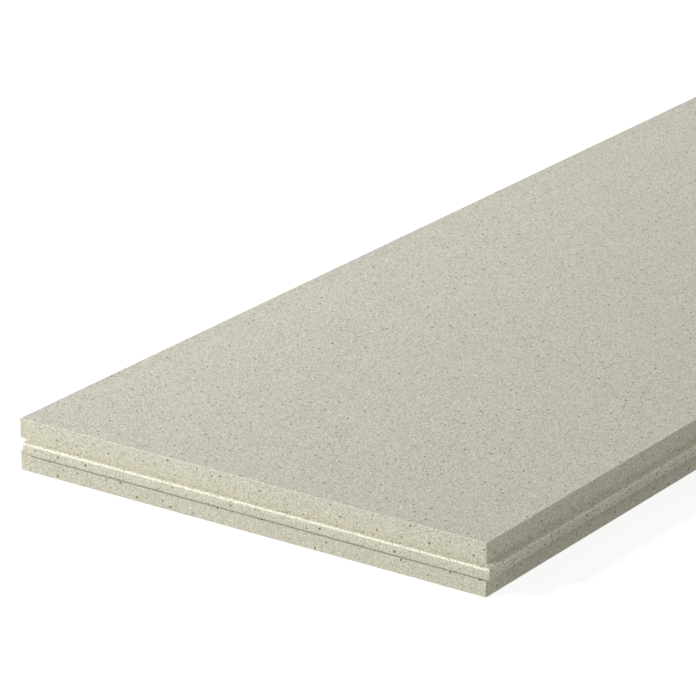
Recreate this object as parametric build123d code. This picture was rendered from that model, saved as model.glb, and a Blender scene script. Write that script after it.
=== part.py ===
from build123d import *
import os

# Rigid foam insulation board with a tongue-and-groove edge all round, one solid piece.
# Millimetres, +Z up. The board lies flat on its underside, its length along Y.
# The tongues are on the +X side and the -Y end, the grooves on the -X side and the +Y end.
# The origin is the centre of the underside, tongues included.

# Face of the board between its edges, which is what one board covers once it is laid
COVER_WIDTH = 600.0
COVER_LENGTH = 2500.0
THICKNESS = 60.0

# Tongue, halfway up the edge
TONGUE_REACH = 10.0
TONGUE_ROOT = 14.0  # thickness where it leaves the edge
TONGUE_TIP = 13.0  # thickness at its tip, before the lead-in
TIP_LEAD_IN = 1.5  # bevel that guides the tongue into the next board

# Play of a tongue in the groove of the next board
FLANK_CLEARANCE = 0.5  # each side of the tongue
END_CLEARANCE = 1.0  # in front of its tip

# What follows from those
MID_HEIGHT = THICKNESS / 2
FLANK_TAPER = (TONGUE_ROOT - TONGUE_TIP) / 2 / TONGUE_REACH
GROOVE_DEPTH = TONGUE_REACH + END_CLEARANCE
OVERALL_WIDTH = COVER_WIDTH + TONGUE_REACH
OVERALL_LENGTH = COVER_LENGTH + TONGUE_REACH


def joint_profile(start, depth, clearance):
    """Tapered tongue running from start along +x, or the groove that holds it with a clearance."""
    root = TONGUE_ROOT / 2 + clearance
    tip = root - FLANK_TAPER * depth
    shoulder = root - FLANK_TAPER * (depth - TIP_LEAD_IN)
    upper = [
        (start, root),
        (start + depth - TIP_LEAD_IN, shoulder),
        (start + depth, tip - TIP_LEAD_IN),
    ]
    lower = [(x, -y) for x, y in reversed(upper)]
    outline = [(x, MID_HEIGHT + y) for x, y in upper + lower]
    return make_face(Polyline(*outline, close=True))


def board_section(cover):
    """Section across the board between two opposite edges: groove at -x, tongue at +x."""
    overall = cover + TONGUE_REACH
    groove_face = -overall / 2
    tongue_face = groove_face + cover
    slab = Pos((groove_face + tongue_face) / 2, MID_HEIGHT) * Rectangle(cover, THICKNESS)
    tongue = joint_profile(tongue_face, TONGUE_REACH, 0)
    groove = joint_profile(groove_face, GROOVE_DEPTH, FLANK_CLEARANCE)
    return slab + tongue - groove


# The long edges run the length of the board, and the end edges are cut across them, so that
# a groove also passes through the end of the tongue beside it
across = Plane(origin=(0, 0, 0), x_dir=(1, 0, 0), z_dir=(0, -1, 0))
along = Plane(origin=(0, 0, 0), x_dir=(0, -1, 0), z_dir=(-1, 0, 0))
long_edges = extrude(across * board_section(COVER_WIDTH), OVERALL_LENGTH, both=True)
end_edges = extrude(along * board_section(COVER_LENGTH), OVERALL_WIDTH, both=True)
board = long_edges & end_edges

os.makedirs("parts", exist_ok=True)
export_step(board, "parts/insulation_board.step")
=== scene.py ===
import math
import random

import bmesh
import bpy
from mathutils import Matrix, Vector, noise


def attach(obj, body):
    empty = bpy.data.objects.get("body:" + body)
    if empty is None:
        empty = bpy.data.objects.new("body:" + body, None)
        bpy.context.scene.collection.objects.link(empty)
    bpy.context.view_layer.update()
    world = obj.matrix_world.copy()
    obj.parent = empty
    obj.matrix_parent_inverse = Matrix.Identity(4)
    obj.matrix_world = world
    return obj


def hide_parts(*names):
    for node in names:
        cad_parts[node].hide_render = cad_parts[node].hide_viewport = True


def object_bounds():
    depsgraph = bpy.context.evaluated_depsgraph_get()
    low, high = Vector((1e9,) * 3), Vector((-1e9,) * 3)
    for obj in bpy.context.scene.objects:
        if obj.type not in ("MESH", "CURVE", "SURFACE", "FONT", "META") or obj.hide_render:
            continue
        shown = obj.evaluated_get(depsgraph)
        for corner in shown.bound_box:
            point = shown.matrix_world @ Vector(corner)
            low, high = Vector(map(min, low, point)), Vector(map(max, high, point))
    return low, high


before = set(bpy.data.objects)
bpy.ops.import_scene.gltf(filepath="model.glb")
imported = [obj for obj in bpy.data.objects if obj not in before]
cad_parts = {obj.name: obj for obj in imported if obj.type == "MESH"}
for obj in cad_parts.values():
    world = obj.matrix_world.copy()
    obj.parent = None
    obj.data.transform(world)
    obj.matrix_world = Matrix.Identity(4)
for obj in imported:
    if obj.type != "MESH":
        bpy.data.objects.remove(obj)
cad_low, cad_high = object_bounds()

# Metres and degrees, in the frame of the solid: the board lies flat, its length along Y.
NODE = "insulation_board"
SEED = 7

# Camera, aimed at the spot on the top face that falls in the middle of the picture
IMAGE_SIDE = 696  # pixels
FOCAL_PIXELS = 4265.0
SENSOR_WIDTH = 36.0  # millimetres
VIEW_TURN = 34.852
VIEW_DROP = 20.49
VIEW_DISTANCE = 4.797
VIEW_TARGET = Vector((-0.1379, -0.8663, cad_high.z))
SIGHT_LIMIT = 100.0  # nothing further away is drawn

# Faces of the solid, told apart by height and by the rise of their normals
WELD = 0.0001  # points nearer than this become one
FLAT_WITHIN = 1.0  # neighbours that turn less than this are one flat side
EDGE_BAND = 0.99  # milled faces have their middle within this share of half the thickness
SLOPED_FROM = 0.1  # faces that rise less than this look sideways or down
LEVEL_FROM = 0.9  # flat sides that rise more than this are level

# Form of the foam
ARRIS = 0.0004  # softening of the milled arrises
ARRIS_STEPS = 2
ARRIS_PROFILE = 0.5  # round
SHARP_FROM = 15.0  # edges that turn more than this are arrises
SHORTEST_ARRIS = 0.015
CELL = 0.022  # one open pore at most to each square of this side
CUT_TOLERANCE = 1e-7
PORE_RADIUS = (0.0007, 0.0015)
PORE_UNEVENNESS = (0.8, 1.2)  # shares of the radius, drawn for each corner
PORE_DEPTH = 0.6  # share of the radius
PORE_SIDES = 6
PORE_ROOM = 0.002  # clear band between a pore's centre and the edge of its square
SHORTEST_SIDE = 2.2 * PORE_ROOM  # of a square that can take a pore
SWAY = 0.00018  # slow unevenness of the faces
SWAY_LENGTH = 0.12
SMOOTH_BELOW = 20.0  # faces that turn less than this shade as one surface

# Foam colours, linear
FACE_COLOUR = (0.560, 0.534, 0.456)
EDGE_COLOUR = (0.566, 0.546, 0.440)

# Foam texture: a contrast is how far a factor of the tone may go to each side of 1
CELL_STRETCH = 2.2  # the foam's cells are longer along the extruded length
GRAIN_SIZE = 0.00045
GRAIN_CONTRAST = 0.54
CLUMPS = dict(size=0.004, detail=2.0, roughness=0.6)
CLUMP_CONTRAST = 0.015
MOTTLE = dict(size=0.09, detail=3.0, roughness=0.55)
MOTTLE_CONTRAST = 0.035
SPECK_SPACING = 0.0028
SPECK_RADIUS = (0.08, 0.2)  # shares of the spacing
SPECK_RIM = (-0.02, 0.06)  # shares of the spacing over which a speck fades in
EDGE_SPECKS = 1.15  # how much larger they are on the milled edges
SPECK_DARKNESS = 0.92
# Painted shade on the walls of the open pores
PORE_SHADE = 0.7
# Painted highlight: lighter colour on the upward-sloping milled faces and arrises
HIGHLIGHT_LIGHTNESS = 0.4
LONG_EDGE_HIGHLIGHT = 0.35  # share of that along the length
RELIEF = 0.0003
RELIEF_STRENGTH = 0.5
ROUGHNESS = (0.62, 0.85)
SPECULAR = 0.35

# Light: turns run from the front end round towards the grooved side
KEY = dict(turn=30.0, height=27.0, distance=7.0, size=0.875, power=398.0)
FILL = dict(turn=-85.0, height=38.0, distance=4.0, size=4.0, power=44.0)
STRIP_PLACE = Vector((-0.62, 0.25, 0.62))
STRIP_SIZE = (3.8, 0.4)  # along the board and across it
STRIP_POWER = 6.4
SKY_STRENGTH = 0.3

# Floor
FLOOR_RADIUS = 30.0
FLOOR_SIDES = 96
FLOOR_GAP = 0.0002  # below the board
FLOOR_COLOUR = 0.62  # as it sends light back to the board
FLOOR_SEEN_COLOUR = 0.4  # as it is seen, with the glow added
FLOOR_GLOW = 0.78


def board_faces():
    """Copy of the solid with each flat side as one face, closed and ready to be worked."""
    bm = bmesh.new()
    bm.from_mesh(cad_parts[NODE].data)
    bmesh.ops.remove_doubles(bm, verts=bm.verts, dist=WELD)
    limit = math.radians(FLAT_WITHIN)
    bmesh.ops.dissolve_limit(bm, angle_limit=limit, verts=bm.verts, edges=bm.edges)
    return bm


def highlight_share(face):
    """Share of painted highlight on a sloped face: most on the ends, less along the length, none on
    faces that look sideways or down.
    """
    if face.normal.z < SLOPED_FROM:
        return 0.0
    return 1.0 if abs(face.normal.y) > abs(face.normal.x) else LONG_EDGE_HIGHLIGHT


def mark_zones(bm):
    """Marks the milled edge faces, and among them those that slope upwards, which get a painted
    highlight.
    """
    milled = bm.faces.layers.float.new("milled")
    pale = bm.faces.layers.float.new("pale")
    bm.faces.layers.float.new("pore")
    middle = (cad_low.z + cad_high.z) / 2
    half = (cad_high.z - cad_low.z) / 2
    for face in bm.faces:
        height = abs(face.calc_center_median().z - middle)
        face[milled] = float(height < half * EDGE_BAND)
        face[pale] = highlight_share(face) if face.normal.z < LEVEL_FROM else 0.0


def soften_arrises(bm):
    """Rounds the milled arrises a little, and gives the upper ones a painted highlight."""
    pale = bm.faces.layers.float["pale"]
    arrises = [
        edge
        for edge in bm.edges
        if edge.calc_length() > SHORTEST_ARRIS
        and math.degrees(edge.calc_face_angle_signed()) > SHARP_FROM
    ]
    rounded = bmesh.ops.bevel(
        bm,
        geom=arrises,
        offset=ARRIS,
        offset_type="OFFSET",
        segments=ARRIS_STEPS,
        profile=ARRIS_PROFILE,
        affect="EDGES",
        clamp_overlap=False,
    )
    for face in rounded["faces"]:
        face[pale] = highlight_share(face)


def cut_squares(bm):
    """Cuts the faces by evenly spaced planes across the length, then across the width."""
    for axis in (1, 0):
        span = cad_high[axis] - cad_low[axis]
        count = round(span / CELL)
        normal = Vector((0, 0, 0))
        normal[axis] = 1
        for i in range(1, count):
            place = normal * (cad_low[axis] + span * i / count)
            geom = bm.verts[:] + bm.edges[:] + bm.faces[:]
            bmesh.ops.bisect_plane(
                bm, geom=geom, dist=CUT_TOLERANCE, plane_co=place, plane_no=normal
            )


def ring_triangles(outer, inner):
    """Triangles between two loops round one centre, each a list of (angle, vertex) by angle."""
    full = 2 * math.pi
    start = outer[0][0]
    outer = [((angle - start) % full, vert) for angle, vert in outer]
    inner = [((angle - start) % full, vert) for angle, vert in inner]
    inner.sort(key=lambda item: item[0])
    outer.append((full, outer[0][1]))
    inner.insert(0, (inner[-1][0] - full, inner[-1][1]))
    i = j = 0
    while i < len(outer) - 1 or j < len(inner) - 1:
        next_outer = outer[i + 1][0] if i < len(outer) - 1 else math.inf
        next_inner = inner[j + 1][0] if j < len(inner) - 1 else math.inf
        if next_outer < next_inner:
            yield outer[i][1], outer[i + 1][1], inner[j][1]
            i += 1
        else:
            yield outer[i][1], inner[j + 1][1], inner[j][1]
            j += 1


def open_pore(bm, face, draw, pore):
    """Opens one small conical pore at a random place in a square face, its walls marked for painted
    shade.
    """
    corners = list(face.verts)
    side = corners[1].co - corners[0].co
    length = side.length
    width = (corners[3].co - corners[0].co).length
    along = side.normalized()
    up = face.normal.cross(side).normalized()
    radius = draw.uniform(*PORE_RADIUS)
    far_along = draw.uniform(PORE_ROOM, length - PORE_ROOM)
    far_up = draw.uniform(PORE_ROOM, width - PORE_ROOM)
    centre = corners[0].co + along * far_along + up * far_up
    turn = draw.uniform(0, math.pi)
    rim = []
    for k in range(PORE_SIDES):
        angle = turn + 2 * math.pi * k / PORE_SIDES
        reach = radius * draw.uniform(*PORE_UNEVENNESS)
        spot = centre + (along * math.cos(angle) + up * math.sin(angle)) * reach
        rim.append((angle, bm.verts.new(spot)))
    bottom = bm.verts.new(centre - face.normal * radius * PORE_DEPTH)
    outer = []
    for vert in corners:
        offset = vert.co - centre
        outer.append((math.atan2(offset.dot(up), offset.dot(along)), vert))
    for triangle in ring_triangles(outer, rim):
        bm.faces.new(triangle, face)
    for k in range(PORE_SIDES):
        wall = bm.faces.new((rim[k][1], rim[(k + 1) % PORE_SIDES][1], bottom), face)
        wall[pore] = 1.0
    bm.faces.remove(face)


def open_pores(bm):
    """Opens a pore in most of the squares, fewer where a square is small."""
    draw = random.Random(SEED)
    pore = bm.faces.layers.float["pore"]
    pale = bm.faces.layers.float["pale"]
    bm.normal_update()
    squares = [face for face in bm.faces if len(face.verts) == 4 and not face[pale]]
    for face in squares:
        sides = [edge.calc_length() for edge in face.edges]
        if min(sides) > SHORTEST_SIDE and draw.random() < face.calc_area() / CELL**2:
            open_pore(bm, face, draw, pore)


def sway_faces(bm):
    """Lets the faces sink slowly in and out by a fraction of a millimetre, within the solid's box."""
    bm.normal_update()
    for vert in bm.verts:
        depth = SWAY * max(0.0, 0.5 + 0.5 * noise.noise(vert.co / SWAY_LENGTH))
        limits = zip(vert.co - vert.normal * depth, cad_low, cad_high)
        vert.co = [min(max(value, least), most) for value, least, most in limits]


def shade_smooth(bm):
    """Shades the faces as smooth, with a crease wherever they turn sharply."""
    bm.normal_update()
    for face in bm.faces:
        face.smooth = True
    for edge in bm.edges:
        edge.smooth = math.degrees(edge.calc_face_angle(math.pi)) < SMOOTH_BELOW


def mesh_object(bm, name):
    """Turns a worked mesh into an object of the scene."""
    mesh = bpy.data.meshes.new(name)
    bm.to_mesh(mesh)
    bm.free()
    thing = bpy.data.objects.new(name, mesh)
    bpy.context.scene.collection.objects.link(thing)
    return thing


def build_board():
    """The foam board as one mesh, worked from the solid's own faces."""
    bm = board_faces()
    mark_zones(bm)
    soften_arrises(bm)
    cut_squares(bm)
    open_pores(bm)
    sway_faces(bm)
    shade_smooth(bm)
    return mesh_object(bm, "foam_board")


class Nodes:
    """Fills the node tree of a material or world, from an empty start."""

    def __init__(self, owner):
        owner.use_nodes = True
        self.tree = owner.node_tree
        self.tree.nodes.clear()

    def add(self, kind, inputs=(), **settings):
        """New node, with each input given as a value or as another node's output."""
        node = self.tree.nodes.new(kind)
        for name, value in settings.items():
            setattr(node, name, value)
        for key, value in dict(inputs).items():
            if isinstance(value, bpy.types.NodeSocket):
                self.tree.links.new(value, node.inputs[key])
            else:
                node.inputs[key].default_value = value
        return node

    def math(self, operation, *values):
        return self.add("ShaderNodeMath", enumerate(values), operation=operation).outputs[0]

    def product(self, first, *others):
        for other in others:
            first = self.math("MULTIPLY", first, other)
        return first

    def map_range(self, value, source, target):
        inputs = {"Value": value}
        inputs["From Min"], inputs["From Max"] = source
        inputs["To Min"], inputs["To Max"] = target
        return self.add("ShaderNodeMapRange", inputs).outputs["Result"]

    def between(self, value, low, high):
        """Low where the value is 0, high where it is 1."""
        return self.map_range(value, (0, 1), (low, high))

    def around(self, value, contrast):
        """A factor round 1 that follows the value."""
        return self.between(value, 1 - contrast, 1 + contrast)

    def attribute(self, name):
        return self.add("ShaderNodeAttribute", attribute_name=name).outputs["Fac"]

    def mix(self, factor, first, second):
        """First colour where the factor is 0, second where it is 1."""
        inputs = {0: factor, 6: (*first, 1), 7: (*second, 1)}
        return self.add("ShaderNodeMix", inputs, data_type="RGBA").outputs[2]

    def voronoi(self, place, size):
        """Distance to the nearest cell's centre, and a random number for each cell."""
        cells = self.add("ShaderNodeTexVoronoi", {"Vector": place, "Scale": 1 / size}).outputs
        colour = self.add("ShaderNodeSeparateColor", {"Color": cells["Color"]})
        return cells["Distance"], colour.outputs["Red"]

    def noise(self, place, size, detail, roughness):
        inputs = {"Vector": place, "Scale": 1 / size, "Detail": detail, "Roughness": roughness}
        return self.add("ShaderNodeTexNoise", inputs).outputs[0]


def foam_specks(nodes, cells, milled):
    """1 in the small dark specks, which are somewhat larger on the milled edges."""
    distance, chance = nodes.voronoi(cells, SPECK_SPACING)
    growth = nodes.between(milled, 1, EDGE_SPECKS)
    reach = nodes.product(nodes.between(chance, *SPECK_RADIUS), growth)
    return nodes.map_range(nodes.math("SUBTRACT", reach, distance), SPECK_RIM, (0, 1))


def foam_material():
    """Matte foam: fine grain, dark specks, a slow drift of tone, painted shade in the pores and a
    painted highlight on the upward-sloping milled faces.
    """
    material = bpy.data.materials.new("foam")
    nodes = Nodes(material)
    place = nodes.add("ShaderNodeTexCoord").outputs["Object"]
    stretch = nodes.add("ShaderNodeMapping", {"Vector": place, "Scale": (1, 1 / CELL_STRETCH, 1)})
    cells = stretch.outputs["Vector"]
    milled = nodes.attribute("milled")
    distance, grain = nodes.voronoi(cells, GRAIN_SIZE)
    speck = foam_specks(nodes, cells, milled)

    tone = nodes.product(
        nodes.around(grain, GRAIN_CONTRAST),
        nodes.around(nodes.noise(cells, **CLUMPS), CLUMP_CONTRAST),
        nodes.between(speck, 1, 1 - SPECK_DARKNESS),
        nodes.around(nodes.noise(place, **MOTTLE), MOTTLE_CONTRAST),
        # painted shade on the pore walls
        nodes.between(nodes.attribute("pore"), 1, 1 - PORE_SHADE),
        # painted highlight on the upward-sloping milled faces
        nodes.between(nodes.attribute("pale"), 1, 1 + HIGHLIGHT_LIGHTNESS),
    )
    colour = nodes.mix(milled, FACE_COLOUR, EDGE_COLOUR)
    shaded = nodes.add("ShaderNodeVectorMath", {0: colour, "Scale": tone}, operation="SCALE")

    rise = nodes.math("SUBTRACT", distance, speck)
    relief = {"Height": rise, "Distance": RELIEF, "Strength": RELIEF_STRENGTH}
    bump = nodes.add("ShaderNodeBump", relief)
    shader = nodes.add(
        "ShaderNodeBsdfPrincipled",
        {
            "Base Color": shaded.outputs["Vector"],
            "Roughness": nodes.between(grain, *ROUGHNESS),
            "Specular IOR Level": SPECULAR,
            "Normal": bump.outputs["Normal"],
        },
    )
    nodes.add("ShaderNodeOutputMaterial", {"Surface": shader.outputs[0]})
    return material


def seen_ray(nodes):
    """1 for a ray that shows the floor or the sky itself, and 0 for one that only lights the board."""
    path = nodes.add("ShaderNodeLightPath").outputs
    seen = nodes.math("MAXIMUM", path["Is Camera Ray"], path["Is Glossy Ray"])
    return nodes.math("MAXIMUM", seen, path["Is Transmission Ray"])


def floor_material():
    """White where it is seen, with a glow that keeps the shadow pale, and plain grey to the board."""
    material = bpy.data.materials.new("floor")
    nodes = Nodes(material)
    seen = seen_ray(nodes)
    colour = nodes.mix(seen, (FLOOR_COLOUR,) * 3, (FLOOR_SEEN_COLOUR,) * 3)
    matte = nodes.add("ShaderNodeBsdfDiffuse", {"Color": colour})
    glow = nodes.add("ShaderNodeEmission", {"Strength": nodes.product(seen, FLOOR_GLOW)})
    both = nodes.add("ShaderNodeAddShader", {0: matte.outputs[0], 1: glow.outputs[0]})
    nodes.add("ShaderNodeOutputMaterial", {"Surface": both.outputs[0]})
    return material


def add_floor():
    """Wide round floor that keeps the board's soft shadow."""
    bm = bmesh.new()
    bmesh.ops.create_circle(bm, cap_ends=True, segments=FLOOR_SIDES, radius=FLOOR_RADIUS)
    floor = mesh_object(bm, "floor")
    floor.location.z = cad_low.z - FLOOR_GAP
    floor.data.materials.append(floor_material())


def add_sky():
    """Even light from all round, white where it is seen."""
    world = bpy.data.worlds.new("sky")
    nodes = Nodes(world)
    strength = nodes.between(seen_ray(nodes), SKY_STRENGTH, 1)
    sky = nodes.add("ShaderNodeBackground", {"Strength": strength})
    nodes.add("ShaderNodeOutputWorld", {"Surface": sky.outputs[0]})
    bpy.context.scene.world = world


def direction(turn, height):
    """Unit vector towards a place seen from the board: turn from -Y towards -X, height above level."""
    turn = math.radians(turn)
    height = math.radians(height)
    level = math.cos(height)
    return Vector((-math.sin(turn) * level, -math.cos(turn) * level, math.sin(height)))


def aim(thing, place, target):
    """Adds a lamp or a camera to the scene at a place, looking at the target."""
    thing.location = place
    thing.rotation_euler = (target - place).to_track_quat("-Z", "Y").to_euler()
    bpy.context.scene.collection.objects.link(thing)


def add_lamp(name, turn, height, distance, size, power):
    """Round soft lamp aimed at the middle of the view."""
    lamp = bpy.data.lights.new(name, "AREA")
    lamp.shape = "DISK"
    lamp.size = size
    lamp.energy = power
    place = VIEW_TARGET + direction(turn, height) * distance
    aim(bpy.data.objects.new(name, lamp), place, VIEW_TARGET)


def add_strip():
    """Long soft lamp above the grooved side, turned towards the middle of the board."""
    lamp = bpy.data.lights.new("strip", "AREA")
    lamp.shape = "RECTANGLE"
    lamp.size, lamp.size_y = STRIP_SIZE
    lamp.energy = STRIP_POWER
    middle = Vector((0, STRIP_PLACE.y, cad_high.z))
    aim(bpy.data.objects.new("strip", lamp), STRIP_PLACE, middle)


def add_camera():
    """Camera at the photograph's viewing angle."""
    lens = bpy.data.cameras.new("camera")
    lens.sensor_width = SENSOR_WIDTH
    lens.lens = SENSOR_WIDTH * FOCAL_PIXELS / IMAGE_SIDE
    lens.clip_end = SIGHT_LIMIT
    camera = bpy.data.objects.new("camera", lens)
    place = VIEW_TARGET + direction(-VIEW_TURN, VIEW_DROP) * VIEW_DISTANCE
    aim(camera, place, VIEW_TARGET)
    bpy.context.scene.camera = camera


board = build_board()
board.data.materials.append(foam_material())
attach(board, "root")
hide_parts(NODE)
add_floor()
add_sky()
add_lamp("key", **KEY)
add_lamp("fill", **FILL)
add_strip()
add_camera()
bpy.context.scene.view_settings.view_transform = "Standard"
